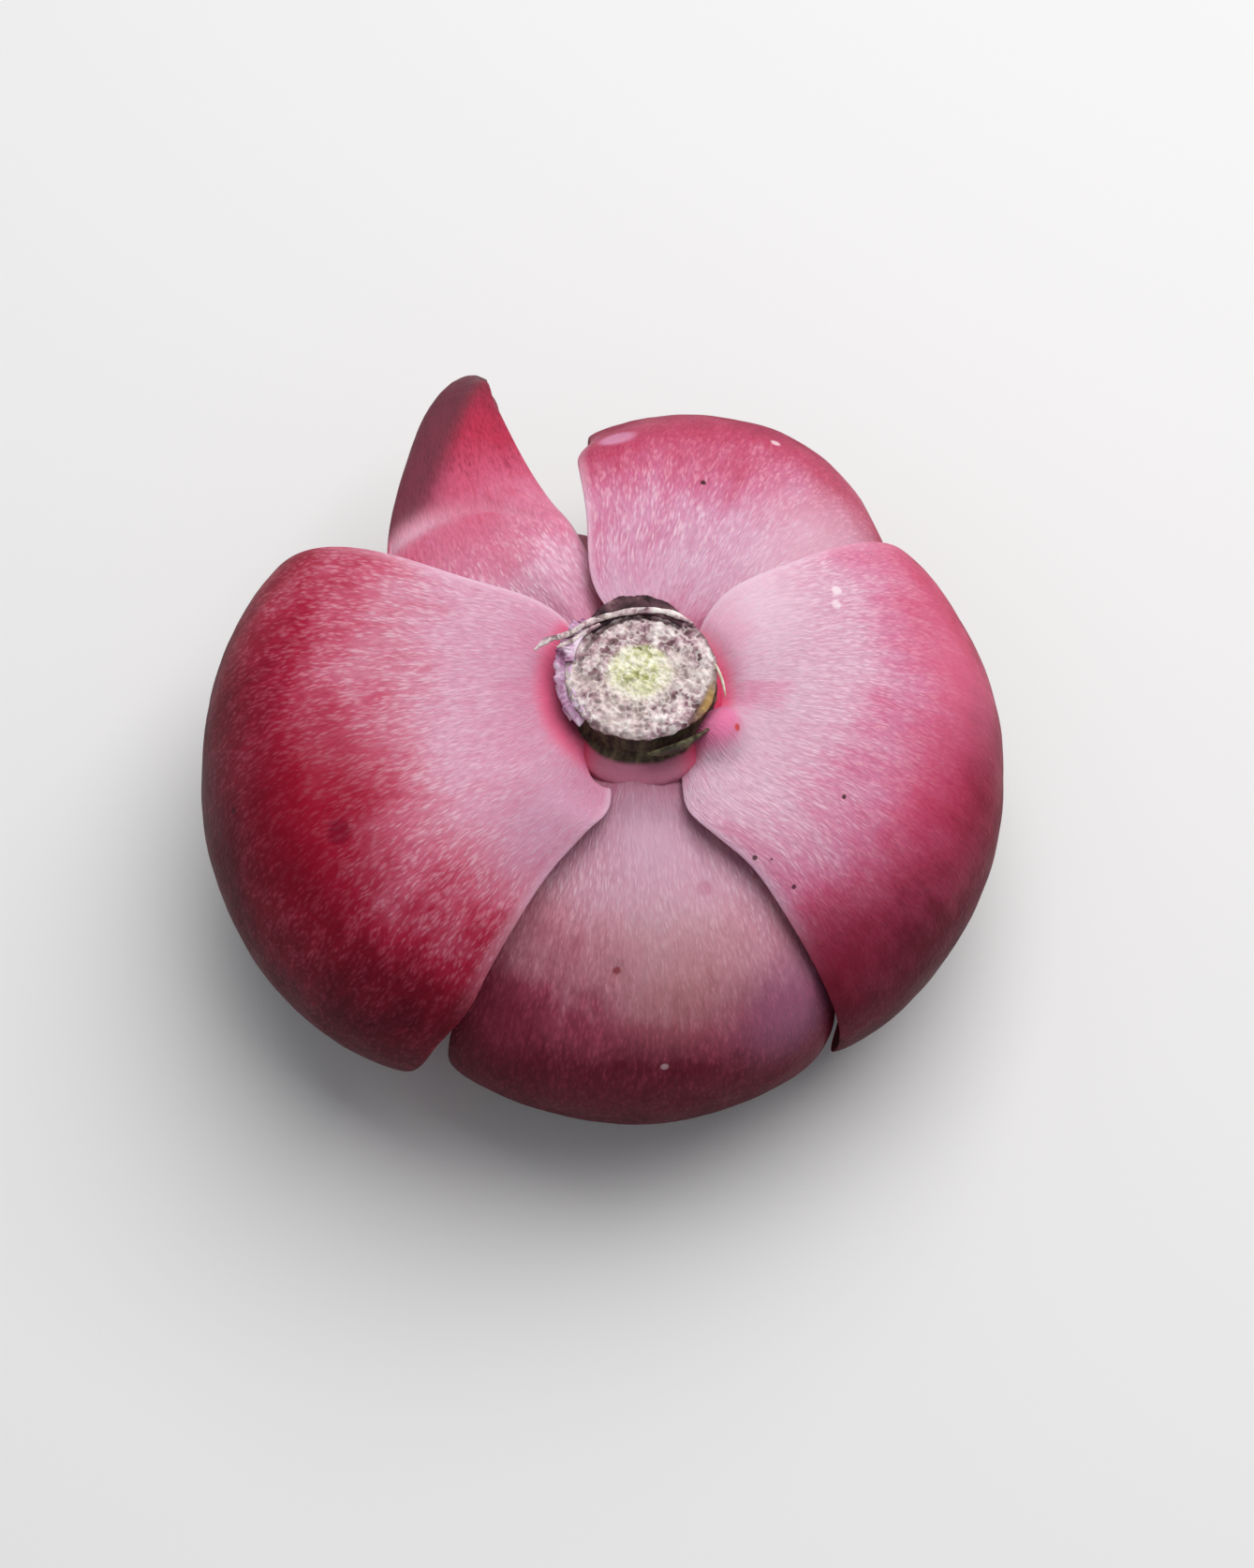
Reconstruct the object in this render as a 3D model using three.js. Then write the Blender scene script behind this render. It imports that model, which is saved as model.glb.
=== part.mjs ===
// A cut rosette of an echeveria, lying face down: the stump of the stem points up, and the leaves
// curve down round it to the surface. Millimetres, +Z up, +X to the right leaf, +Y to the far leaf.
//
// Every leaf is a patch of one nest of bowls. A bowl is the outer shape of the rosette, shrunk
// towards the focus, a point on the axis inside the face. A place is then three numbers:
// polar, the angle down from the stem along the bowl's outline; azimuth, the angle round the axis;
// and level, the bowl's share of the full size. Leaves are laid from the outermost inwards, and each
// one is pressed under the faces of the leaves that already cover it.
import * as THREE from "three";

// Driving dimensions
const bowlRadius = 30.5; // widest radius of the outer bowl
const bowlHalfHeight = 22; // its half height
const bowlCentreHeight = 15; // height of its widest place
const focusHeight = 10; // height of the point that all bowls shrink towards
const stemRadius = 5.7; // of the cut stem
const stumpHeight = 0.6; // of the cut over the top of the outer bowl
const stumpLength = 6; // of the stem's part that doesn't taper
const cutBevel = 0.5; // of the worn edge of the cut
const crownRadius = 1.6; // of the stem's growing end, deep in the rosette
const crownAboveFocus = 7.5; // height of that end over the focus
const leafCount = 27;
const leafGap = 0.42; // between neighbouring leaves
const stemGap = 0.35; // between a leaf's base and the stem
const leafThickness = 4.4; // of an outer leaf, at its middle
const baseThickness = 3.1; // of an outer leaf, where it meets the stem
const edgeThickness = 0.9; // of its thin margin
const goldenAngle = 137.5; // turn from each leaf to the next
const levelFall = 0.061; // how fast the leaves' levels fall from one to the next
const fullerSide = { azimuth: 190, rise: 0.12 }; // the rosette bulges to the left leaf's side
const pressSlope = 0.4; // steepest rise of a leaf's back from under its neighbour
const spreadRadius = 0.3; // share of the bowl's radius where a leaf has its full base spread
const cornerWidth = 0.62; // share of its fan that a leaf keeps at its very base
const thickestAt = 0.4; // share of its length where a leaf has its full thickness
const closesFrom = 0.55; // share of its length where it starts to thin towards the tip
const closingPower = 2.6; // how suddenly it thins there
const sectionPower = 2.2; // how flat the middle of a leaf's section is
const sectionFullness = 0.62; // how quickly the section thickens from the margin: 0 at once, 1 evenly
const marginPower = 8; // how close to the margin the rounding of its edge stays
const tipRoundsFrom = 0.8; // share of its length where that rounding goes right across
const outerClearance = 1.6; // how far round a place an outer leaf keeps under its neighbours
const innerClearance = 1.3; // the same for an inner leaf
const furthestUnder = -0.98; // cosine of the largest polar angle that a tip may have

// How finely a leaf is made
const outerLeafGrid = { stations: 16, around: 22 };
const innerLeafGrid = { stations: 11, around: 14 };
const fieldSteps = 22; // of the grid that holds a leaf's pressed level, each way

// The dry base of a shed leaf, on the stem
const dryBase = { azimuth: -62, halfAngle: 27, thickness: 0.7, height: 1.5, belowCut: 1.1 };

const stemTopHeight = bowlCentreHeight + bowlHalfHeight + stumpHeight;
const crownHeight = focusHeight + crownAboveFocus;

const radians = THREE.MathUtils.degToRad;
const { clamp, lerp, smoothstep } = THREE.MathUtils;

// The five outer leaves, in degrees, millimetres, and shares of the leaf's length.
// azimuth: of the leaf's middle line at its base; skew: turn of that line on its way to the tip
// halfAngle: of the leaf's fan at the bowl's widest place; baseSpread: how much wider it is at the stem
// level: share of the outer bowl that the leaf's back lies on, which these change:
//   hollow: fall to the stem, over the hollowLength; flare: rise towards the tip
//   convexity: fall towards both margins; tilt: rise towards the margin of higher azimuth
//   pressSlope: steepest rise from under a neighbour
// widestAt: where the end starts to narrow; slant: how much sooner the side of higher azimuth does
// bluntness: 0 for a wedge, 1 for a square end
// tipHeight: of the tip over the surface
const outerLeaves = [
  { name: "leaf_right", azimuth: -6, halfAngle: 44, baseSpread: 24, level: 1.0, hollow: 0.1, tilt: 0.04 },
  {
    name: "leaf_left",
    azimuth: 196,
    halfAngle: 42,
    baseSpread: 25,
    level: 1.19,
    hollow: 0.2,
    hollowLength: 0.36,
    convexity: 0.06,
    tilt: -0.06,
    widestAt: 0.58,
    slant: 0.14,
    bluntness: 0.7,
  },
  {
    name: "leaf_far",
    azimuth: 62,
    halfAngle: 36.5,
    baseSpread: 18,
    level: 1.1,
    hollow: 0.16,
    hollowLength: 0.3,
    flare: 0.03,
    convexity: 0.06,
  },
  {
    name: "leaf_near",
    azimuth: 274,
    halfAngle: 33.5,
    baseSpread: 20,
    level: 0.95,
    convexity: 0.02,
    tilt: -0.02,
    skew: -3,
    widestAt: 0.65,
    slant: 0.2,
    bluntness: 0.9,
  },
  {
    name: "leaf_spread",
    azimuth: 147,
    halfAngle: 31.5,
    baseSpread: 16,
    level: 0.98,
    flare: 0.36,
    skew: -36,
    tipHeight: 18,
    widestAt: 0.2,
    slant: -0.1,
    bluntness: -0.4,
    pressSlope: 1.5,
  },
];

// The outline of the outer bowl, as radius and height at a polar angle.
function bowlOutline(polar) {
  return {
    radius: bowlRadius * Math.sin(polar),
    height: bowlCentreHeight + bowlHalfHeight * Math.cos(polar),
  };
}

// Distance from the focus to the outer bowl, which turns millimetres of depth into level.
function bowlReach(polar) {
  const { radius, height } = bowlOutline(polar);
  return Math.hypot(radius, height - focusHeight);
}

function place(polar, azimuth, level) {
  const { radius, height } = bowlOutline(polar);
  return new THREE.Vector3(
    level * radius * Math.cos(azimuth),
    level * radius * Math.sin(azimuth),
    focusHeight + level * (height - focusHeight),
  );
}

// Radius of the stem at a height: it tapers into the crown that the inner leaves grow from.
function stemRadiusAt(height) {
  const share = clamp((height - crownHeight) / (stemTopHeight - stumpLength - crownHeight), 0, 1);
  return lerp(crownRadius, stemRadius, Math.sqrt(share));
}

// The polar angle at which a bowl of this level clears the stem, found by halving.
function polarAtStem(level) {
  let low = 0;
  let high = Math.PI / 2;
  for (let step = 0; step < 30; step++) {
    const middle = (low + high) / 2;
    const { radius, height } = bowlOutline(middle);
    const atHeight = focusHeight + level * (height - focusHeight);
    if (level * radius < stemRadiusAt(atHeight) + stemGap) low = middle;
    else high = middle;
  }
  return high;
}

// The polar angle at which a bowl of this level is at a height.
function polarAtHeight(level, height) {
  const onOuterBowl = focusHeight + (height - focusHeight) / level;
  return Math.acos(clamp((onOuterBowl - bowlCentreHeight) / bowlHalfHeight, furthestUnder, 1));
}

// What the leaves laid so far leave free: the lowest face level over each polar angle and azimuth.
class Cover {
  constructor() {
    this.cell = radians(2.5);
    this.rows = Math.ceil(Math.PI / this.cell);
    this.columns = Math.round((2 * Math.PI) / this.cell);
    this.levels = new Float64Array(this.rows * this.columns).fill(Infinity);
  }

  index(polar, azimuth) {
    const row = clamp(Math.floor(polar / this.cell), 0, this.rows - 1);
    const column = Math.floor(azimuth / this.cell) % this.columns;
    return row * this.columns + ((column + this.columns) % this.columns);
  }

  lower(polar, azimuth, level) {
    const at = this.index(polar, azimuth);
    this.levels[at] = Math.min(this.levels[at], level);
  }

  // The lowest level within a margin, in millimetres, of a place.
  freeLevel(polar, azimuth, level, margin) {
    const reach = Math.max(level * bowlReach(polar), 1);
    const width = Math.max(level * bowlOutline(polar).radius, 1);
    let lowest = Infinity;
    for (let turn = 0; turn < 9; turn++) {
      const share = turn === 0 ? 0 : margin;
      const angle = (turn * Math.PI) / 4;
      const nearPolar = polar + (share * Math.cos(angle)) / reach;
      const nearAzimuth = azimuth + (share * Math.sin(angle)) / width;
      lowest = Math.min(lowest, this.levels[this.index(nearPolar, nearAzimuth)]);
    }
    return lowest;
  }
}

// Half the leaf's angle round the axis, along its length: a fan with rounded corners at the stem,
// and a rounded end.
function fanHalfAngle(leaf, along, across, polar) {
  const radiusShare = Math.max(Math.sin(polar), 0.2);
  const fan = leaf.halfAngle + leaf.baseSpread * (spreadRadius / radiusShare) ** 2;
  const corner = clamp(along / leaf.cornerLength, 0, 1);
  const rounded = lerp(cornerWidth, 1, Math.sqrt(1 - (1 - corner) ** 2));
  const widestAt = leaf.widestAt - leaf.slant * Math.sign(across);
  const towardsTip = clamp((along - widestAt) / (1 - widestAt), 0, 1);
  const tip = (1 - towardsTip ** (1.5 + leaf.bluntness)) ** (1 - 0.6 * leaf.bluntness);
  return radians(fan) * rounded * tip;
}

// Thickness in millimetres: full along the middle, thin at the margins, closing at the tip.
function thicknessAt(leaf, along, across) {
  const length = lerp(leaf.baseThickness, leaf.thickness, smoothstep(along, 0, thickestAt));
  const closing = Math.sqrt(1 - clamp((along - closesFrom) / (1 - closesFrom), 0, 1) ** closingPower);
  const section = (1 - Math.abs(across) ** sectionPower) ** sectionFullness;
  return Math.max(length * closing * section, 0);
}

// The level that the leaf's back would have with no neighbours.
function freeBackLevel(leaf, along, across) {
  const hollow = leaf.hollow * (1 - smoothstep(along, 0, leaf.hollowLength));
  const flare = leaf.flare * smoothstep(along, 0.4, 1);
  const rise = leaf.tilt * across - leaf.convexity * Math.abs(across) ** sectionPower;
  return leaf.level * (1 + flare) * (1 - hollow + rise * smoothstep(along, 0.05, 0.4));
}

// Fills leaf.field with the pressed level of the leaf's back over its length and width.
function pressLeaf(leaf, cover) {
  const n = fieldSteps + 1;
  leaf.tipPolar = polarAtHeight(leaf.level * (1 + leaf.flare), leaf.tipHeight);
  leaf.basePolar = polarAtStem(leaf.level * (1 - leaf.hollow));
  const limits = new Float64Array(n * n);
  const spots = [];
  for (let i = 0; i < n; i++) {
    for (let j = 0; j < n; j++) {
      const along = i / fieldSteps;
      const across = Math.sin((Math.PI / 2) * ((2 * j) / fieldSteps - 1));
      const polar = lerp(leaf.basePolar, leaf.tipPolar, along);
      const azimuth = leafAzimuth(leaf, along, across, polar);
      const wanted = freeBackLevel(leaf, along, across);
      const free = cover.freeLevel(polar, azimuth, wanted, leaf.margin);
      limits[i * n + j] = Math.min(wanted, free - leafGap / bowlReach(polar));
      spots.push(place(polar, azimuth, wanted));
    }
  }
  leaf.field = limits.map((_, k) => {
    const reach = bowlReach(lerp(leaf.basePolar, leaf.tipPolar, Math.floor(k / n) / fieldSteps));
    let lowest = Infinity;
    for (let m = 0; m < limits.length; m++)
      lowest = Math.min(lowest, limits[m] + (leaf.pressSlope * spots[k].distanceTo(spots[m])) / reach);
    return lowest;
  });
  for (let pass = 0; pass < 4; pass++) leaf.field = softened(leaf.field, limits, n);
}

// One pass of smoothing that never rises over the limits.
function softened(field, limits, n) {
  return field.map((value, k) => {
    const i = Math.floor(k / n);
    const j = k % n;
    const at = (a, b) => field[clamp(a, 0, n - 1) * n + clamp(b, 0, n - 1)];
    const mean = (at(i - 1, j) + at(i + 1, j) + at(i, j - 1) + at(i, j + 1) + 2 * value) / 6;
    return Math.min(mean, limits[k]);
  });
}

function leafAzimuth(leaf, along, across, polar) {
  return radians(leaf.azimuth + leaf.skew * along) + across * fanHalfAngle(leaf, along, across, polar);
}

// The pressed level of the back, between the field's points.
function backLevel(leaf, along, across) {
  const n = fieldSteps + 1;
  const row = clamp(along, 0, 1) * fieldSteps;
  const column = ((Math.asin(clamp(across, -1, 1)) / (Math.PI / 2) + 1) / 2) * fieldSteps;
  const i = Math.min(Math.floor(row), fieldSteps - 1);
  const j = Math.min(Math.floor(column), fieldSteps - 1);
  const corner = (a, b) => leaf.field[(i + a) * n + j + b];
  const first = lerp(corner(0, 0), corner(0, 1), column - j);
  const second = lerp(corner(1, 0), corner(1, 1), column - j);
  return lerp(first, second, row - i);
}

// A point of the leaf's skin. turn runs round its section: the back first, then the face.
function skinPoint(leaf, along, turn) {
  const across = Math.cos(turn);
  const polar = lerp(leaf.basePolar, leaf.tipPolar, along);
  const reach = bowlReach(polar);
  const closing = Math.sqrt(1 - clamp((along - tipRoundsFrom) / (1 - tipRoundsFrom), 0, 1) ** 2);
  const rounding = (leaf.edge / 2) * (1 - Math.sqrt(1 - Math.abs(across) ** marginPower) * closing);
  const back = backLevel(leaf, along, across) - rounding / reach;
  const isFace = Math.sin(turn) < -1e-9;
  const depth = Math.max(thicknessAt(leaf, along, across) - rounding, 0);
  const level = isFace ? back - depth / reach : back;
  // The base end follows the stem, so its face side starts further down the bowl.
  const start = Math.max(polarAtStem(level), leaf.basePolar);
  const own = lerp(start, leaf.tipPolar, along);
  return { polar: own, azimuth: leafAzimuth(leaf, along, across, polar), level };
}

// The leaf as one closed skin: rings from base to tip, with a fan of faces at the tip.
function leafGeometry(leaf) {
  const { stations, around } = leaf.grid;
  const positions = [];
  const faces = [];
  for (let i = 0; i < stations; i++) {
    const share = i / stations;
    const along = lerp(share, Math.sin((Math.PI / 2) * share), 0.6);
    for (let k = 0; k < around; k++) {
      const skin = skinPoint(leaf, along, (2 * Math.PI * k) / around);
      positions.push(place(skin.polar, skin.azimuth, skin.level));
    }
  }
  const tip = skinPoint(leaf, 1, Math.PI / 2);
  const tipIndex = positions.push(place(tip.polar, tip.azimuth, tip.level)) - 1;
  for (let k = 0; k < around; k++) {
    const next = (k + 1) % around;
    const last = (stations - 1) * around;
    for (let i = 0; i < stations - 1; i++) {
      const here = i * around;
      const there = here + around;
      faces.push(here + k, there + next, there + k, here + k, here + next, there + next);
    }
    faces.push(tipIndex, last + k, last + next);
  }
  // The base end is a strip between the back's points and the face's points under them.
  for (let k = 0; k < around / 2; k++) {
    const under = (around - k) % around;
    if (k > 0) faces.push(k + 1, k, under);
    if (k < around / 2 - 1) faces.push(k + 1, under, around - k - 1);
  }
  const geometry = new THREE.BufferGeometry();
  geometry.setFromPoints(positions);
  geometry.setIndex(faces);
  geometry.computeVertexNormals();
  return geometry;
}

// Lowers the cover wherever the leaf's face lies.
function coverWith(leaf, cover) {
  const steps = 90; // finer than the cover's cells
  for (let i = 0; i <= steps; i++) {
    for (let j = 0; j <= steps; j++) {
      const turn = -Math.PI * (j / steps);
      const skin = skinPoint(leaf, i / steps, Math.min(turn, -1e-6));
      cover.lower(skin.polar, skin.azimuth, skin.level);
    }
  }
}

function leafMaterial(level) {
  const colour = new THREE.Color("#c9587f").lerp(new THREE.Color("#b9c79a"), clamp(1 - level, 0, 0.7));
  return new THREE.MeshStandardMaterial({ color: colour, roughness: 0.55, metalness: 0 });
}

// The inner leaves follow the spiral of the outer ones, each on a smaller bowl.
function innerLeaf(index) {
  const azimuth = outerLeaves[2].azimuth - goldenAngle * (index - 3);
  const fuller = 1 + fullerSide.rise * Math.cos(radians(azimuth - fullerSide.azimuth));
  const level = Math.exp(-levelFall * (index - 3)) * fuller;
  return {
    name: `leaf_${String(index).padStart(2, "0")}`,
    azimuth,
    halfAngle: 36,
    baseSpread: 12,
    level,
    tipHeight: 1 + 9 * Math.max(1 - level, 0) ** 1.9,
  };
}

function completeLeaf(leaf, index) {
  const outer = index < outerLeaves.length;
  return {
    cornerLength: 0.09,
    widestAt: 0.7,
    slant: 0,
    bluntness: 0.75,
    skew: 0,
    tipHeight: 0,
    flare: 0,
    convexity: 0.03,
    tilt: 0,
    pressSlope,
    hollow: outer ? 0.08 : 0.04,
    hollowLength: 0.18,
    thickness: leafThickness * leaf.level ** 0.9,
    baseThickness: baseThickness * leaf.level ** 0.7,
    edge: edgeThickness * leaf.level ** 0.5,
    margin: outer ? outerClearance : innerClearance,
    grid: outer ? outerLeafGrid : innerLeafGrid,
    ...leaf,
  };
}

// The dry base of a shed leaf, a thin curved plate against the stem.
function makeDryLeafBase() {
  const inner = stemRadius + stemGap;
  const outer = inner + dryBase.thickness;
  const start = radians(dryBase.azimuth - dryBase.halfAngle);
  const end = radians(dryBase.azimuth + dryBase.halfAngle);
  const outline = new THREE.Shape();
  outline.absarc(0, 0, outer, start, end, false);
  outline.absarc(0, 0, inner, end, start, true);
  const geometry = new THREE.ExtrudeGeometry(outline, {
    depth: dryBase.height,
    bevelEnabled: false,
    curveSegments: 10,
  });
  geometry.translate(0, 0, stemTopHeight - dryBase.belowCut - dryBase.height);
  const material = new THREE.MeshStandardMaterial({ color: "#4c3a2a", roughness: 0.9, metalness: 0 });
  const plate = new THREE.Mesh(geometry, material);
  plate.name = "dry_leaf_base";
  return plate;
}

// The stem, from its cut down to the crown that the smallest leaves sit round.
function makeStem() {
  const profile = [new THREE.Vector2(0, crownHeight - crownRadius)];
  const steps = 14;
  for (let i = 0; i <= steps; i++) {
    const height = lerp(crownHeight, stemTopHeight - cutBevel, i / steps);
    profile.push(new THREE.Vector2(stemRadiusAt(height), height));
  }
  profile.push(new THREE.Vector2(stemRadius - cutBevel, stemTopHeight));
  profile.push(new THREE.Vector2(0, stemTopHeight));
  const geometry = new THREE.LatheGeometry(profile, 28).rotateX(Math.PI / 2);
  const material = new THREE.MeshStandardMaterial({ color: "#b9a9a3", roughness: 0.95, metalness: 0 });
  const stem = new THREE.Mesh(geometry, material);
  stem.name = "stem";
  return stem;
}

const rosette = new THREE.Group();
rosette.add(makeStem(), makeDryLeafBase());

const cover = new Cover();
for (let index = 0; index < leafCount; index++) {
  const leaf = completeLeaf(outerLeaves[index] ?? innerLeaf(index + 1), index);
  pressLeaf(leaf, cover);
  coverWith(leaf, cover);
  const mesh = new THREE.Mesh(leafGeometry(leaf), leafMaterial(leaf.level));
  mesh.name = leaf.name;
  rosette.add(mesh);
}

// The origin goes to the middle of the rosette's box, on the surface that it lies on.
const box = new THREE.Box3().setFromObject(rosette);
const middle = box.getCenter(new THREE.Vector3());
rosette.position.set(-middle.x, -middle.y, -box.min.z);

export default rosette;
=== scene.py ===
"""The looks of a cut echeveria rosette that lies face down, with the stump of its stem up.

Each leaf of the frame is a coarse closed skin of rings from base to tip. It is read back ring by ring,
resampled to a fine smooth skin, given its relief, and painted from its own length and width.
The stem is built anew, with its fibrous cut, bark and scar.
"""
import math

import bpy
import numpy as np
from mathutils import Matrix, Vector, noise


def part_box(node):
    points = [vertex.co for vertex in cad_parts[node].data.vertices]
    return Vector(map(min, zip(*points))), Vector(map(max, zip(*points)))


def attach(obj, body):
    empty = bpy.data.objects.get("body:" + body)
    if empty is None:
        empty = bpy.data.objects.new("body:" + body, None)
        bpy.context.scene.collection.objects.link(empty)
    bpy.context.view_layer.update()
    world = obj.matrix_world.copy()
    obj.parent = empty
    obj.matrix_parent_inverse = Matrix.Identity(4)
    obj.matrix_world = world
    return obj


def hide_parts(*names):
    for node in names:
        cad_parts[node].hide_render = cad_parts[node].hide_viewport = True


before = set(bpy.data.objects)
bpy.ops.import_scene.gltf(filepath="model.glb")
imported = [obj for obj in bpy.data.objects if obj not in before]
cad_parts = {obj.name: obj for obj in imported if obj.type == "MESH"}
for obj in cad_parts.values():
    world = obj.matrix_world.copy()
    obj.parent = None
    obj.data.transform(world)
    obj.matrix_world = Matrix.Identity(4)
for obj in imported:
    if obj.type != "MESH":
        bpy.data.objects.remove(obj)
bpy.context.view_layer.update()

MM = 0.001
BODY = "root"
OUTER_LEAVES = ["leaf_right", "leaf_left", "leaf_far", "leaf_near", "leaf_spread"]
INNER_LEAVES = sorted(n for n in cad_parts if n.startswith("leaf_") and n not in OUTER_LEAVES)

stem_low, stem_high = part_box("stem")
STEM_CENTRE = np.array([(stem_low.x + stem_high.x) / 2, (stem_low.y + stem_high.y) / 2]) / MM
CUT_HEIGHT = stem_high.z / MM
STEM_RADIUS = (stem_high.x - stem_low.x) / 2 / MM


# ---- camera, floor and light

CAMERA_ELEVATION = math.radians(67)
CAMERA_DISTANCE = 226  # mm, from the cut of the stem
CAMERA_LENS = 67.1  # mm, on a 36 mm sensor along the picture's long side
AIM_RIGHT = -1.1  # mm, from the cut to the middle of the picture
AIM_UP = -8.85
LIGHT_PLACE = (115, 185, 490)  # mm
LIGHT_SIZE = 500
LIGHT_AIM = (0, 0, 18)  # the middle of the rosette


def make_camera():
    back = Vector((0, -math.cos(CAMERA_ELEVATION), math.sin(CAMERA_ELEVATION)))
    right = Vector((1, 0, 0))
    up = back.cross(right)
    cut = Vector((*STEM_CENTRE, CUT_HEIGHT)) * MM
    aim = cut + (right * AIM_RIGHT + up * AIM_UP) * MM
    data = bpy.data.cameras.new("camera")
    data.sensor_width = 36
    data.lens = CAMERA_LENS
    data.clip_start = 0.01
    camera = bpy.data.objects.new("camera", data)
    camera.location = aim + back * CAMERA_DISTANCE * MM
    camera.rotation_euler = (-back).to_track_quat("-Z", "Y").to_euler()
    bpy.context.scene.collection.objects.link(camera)
    bpy.context.scene.camera = camera


def make_lights():
    data = bpy.data.lights.new("sky_light", "AREA")
    data.size = LIGHT_SIZE * MM
    data.energy = 2.8
    data.color = (1.0, 0.985, 0.97)
    light = bpy.data.objects.new("sky_light", data)
    light.location = Vector(LIGHT_PLACE) * MM
    towards = Vector(LIGHT_AIM) * MM - light.location
    light.rotation_euler = towards.to_track_quat("-Z", "Y").to_euler()
    bpy.context.scene.collection.objects.link(light)
    world = bpy.data.worlds.new("world")
    bpy.context.scene.world = world
    world.use_nodes = True
    background = world.node_tree.nodes["Background"]
    background.inputs["Color"].default_value = (0.95, 0.96, 1.0, 1)
    background.inputs["Strength"].default_value = 0.3
    # Plain display of the scene's own colours, with no film look over them.
    bpy.context.scene.view_settings.view_transform = "Standard"


def make_floor():
    half = 3.0  # m
    mesh = bpy.data.meshes.new("floor")
    corners = [(-half, -half, 0), (half, -half, 0), (half, half, 0), (-half, half, 0)]
    mesh.from_pydata(corners, [], [(0, 1, 2, 3)])
    floor = bpy.data.objects.new("floor", mesh)
    bpy.context.scene.collection.objects.link(floor)
    s = Shader("floor_paper")
    s.look("Base Color", (0.86, 0.86, 0.86, 1))
    s.look("Roughness", 0.9)
    mesh.materials.append(s.material)


# ---- shader building blocks


def srgb(red, green, blue):
    """A colour given as on a screen, 0 to 255, in the renderer's linear values."""
    values = []
    for value in (red, green, blue):
        share = value / 255
        values.append(share / 12.92 if share <= 0.04045 else ((share + 0.055) / 1.055) ** 2.4)
    return (*values, 1.0)


def shades(*rows):
    """Stops of a colour ramp, each from its place and its colour on a screen."""
    return [(place, srgb(*colour)) for place, *colour in rows]


class Shader:
    """A material whose nodes are made one by one; an input is a value or another node's output."""

    def __init__(self, name):
        self.material = bpy.data.materials.new(name)
        self.material.use_nodes = True
        self.tree = self.material.node_tree
        self.surface = self.tree.nodes["Principled BSDF"]

    def node(self, kind, inputs, output=0, **settings):
        made = self.tree.nodes.new(kind)
        for key, value in settings.items():
            setattr(made, key, value)
        for key, value in inputs.items():
            self.set(made.inputs[key], value)
        return made.outputs[output]

    def set(self, socket, value):
        if isinstance(value, bpy.types.NodeSocket):
            self.tree.links.new(value, socket)
        else:
            socket.default_value = value

    def look(self, name, value):
        """Sets an input of the surface shader itself."""
        self.set(self.surface.inputs[name], value)

    def attribute(self, name):
        return self.node("ShaderNodeAttribute", {}, output="Fac", attribute_name=name)

    def maths(self, operation, a, b=0.0):
        return self.node("ShaderNodeMath", {0: a, 1: b}, operation=operation)

    def add(self, a, b):
        return self.maths("ADD", a, b)

    def times(self, a, b):
        return self.maths("MULTIPLY", a, b)

    def smooth(self, value, start, end, low=0.0, high=1.0):
        """A soft step of value between start and end, from low to high."""
        inputs = {"Value": value, 1: start, 2: end, 3: low, 4: high}
        return self.node("ShaderNodeMapRange", inputs, interpolation_type="SMOOTHSTEP")

    def mix(self, share, a, b, blend="MIX"):
        inputs = {0: share, 6: a, 7: b}
        return self.node("ShaderNodeMix", inputs, output=2, data_type="RGBA", blend_type=blend)

    def ramp(self, value, stops):
        made = self.tree.nodes.new("ShaderNodeValToRGB")
        elements = made.color_ramp.elements
        while len(elements) < len(stops):
            elements.new(1.0)
        for element, (place, colour) in zip(elements, stops):
            element.position = place
            element.color = colour
        self.set(made.inputs[0], value)
        return made.outputs["Color"]

    def vector(self, x, y, z):
        return self.node("ShaderNodeCombineXYZ", {0: x, 1: y, 2: z})

    def noise(self, vector, scale, detail=2.0, rough=0.5):
        inputs = {"Vector": vector, "Scale": scale, "Detail": detail, "Roughness": rough}
        return self.node("ShaderNodeTexNoise", inputs, output="Fac")

    def place(self):
        return self.node("ShaderNodeTexCoord", {}, output="Object")

    def bump(self, height, distance, strength):
        inputs = {"Height": height, "Distance": distance, "Strength": strength}
        return self.node("ShaderNodeBump", inputs)

    def spot(self, point, radius, softness):
        """1 inside a round spot about a point of the object, in metres, 0 outside."""
        inputs = {0: self.place(), 1: point}
        away = self.node("ShaderNodeVectorMath", inputs, output="Value", operation="DISTANCE")
        return self.smooth(away, radius * (1 + softness), radius * (1 - softness))


# ---- meshes


def make_object(name, points, faces):
    """A smooth object from points of the frame in millimetres."""
    mesh = bpy.data.meshes.new(name)
    mesh.from_pydata((points * MM).tolist(), [], faces)
    mesh.polygons.foreach_set("use_smooth", [True] * len(mesh.polygons))
    mesh.validate()
    made = bpy.data.objects.new(name, mesh)
    bpy.context.scene.collection.objects.link(made)
    return made


def add_attribute(made, name, values):
    layer = made.data.attributes.new(name, "FLOAT", "POINT")
    layer.data.foreach_set("value", np.asarray(values, np.float32).ravel())


def ring_faces(rings, size, first=0):
    """Quads between closed rings of points that follow one another from the first point on."""
    faces = []
    for i in range(rings - 1):
        here, there = first + i * size, first + (i + 1) * size
        for k in range(size):
            after = (k + 1) % size
            faces.append((here + k, here + after, there + after, there + k))
    return faces


def tube_faces(rings, size):
    """Quads between closed rings of points, and a cap on each end."""
    last = (rings - 1) * size
    caps = [tuple(range(size - 1, -1, -1)), tuple(range(last, last + size))]
    return ring_faces(rings, size) + caps


def flipped(faces):
    """The faces seen from their other side, with the same first corners."""
    return [face[:1] + face[:0:-1] for face in faces]


def sheet_loop(cross):
    """Side, 1 above and -1 below, and share across of the points round a thin sheet."""
    over = [(1, j / cross) for j in range(cross + 1)]
    return over + [(-1, share) for _, share in over[::-1]]


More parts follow.
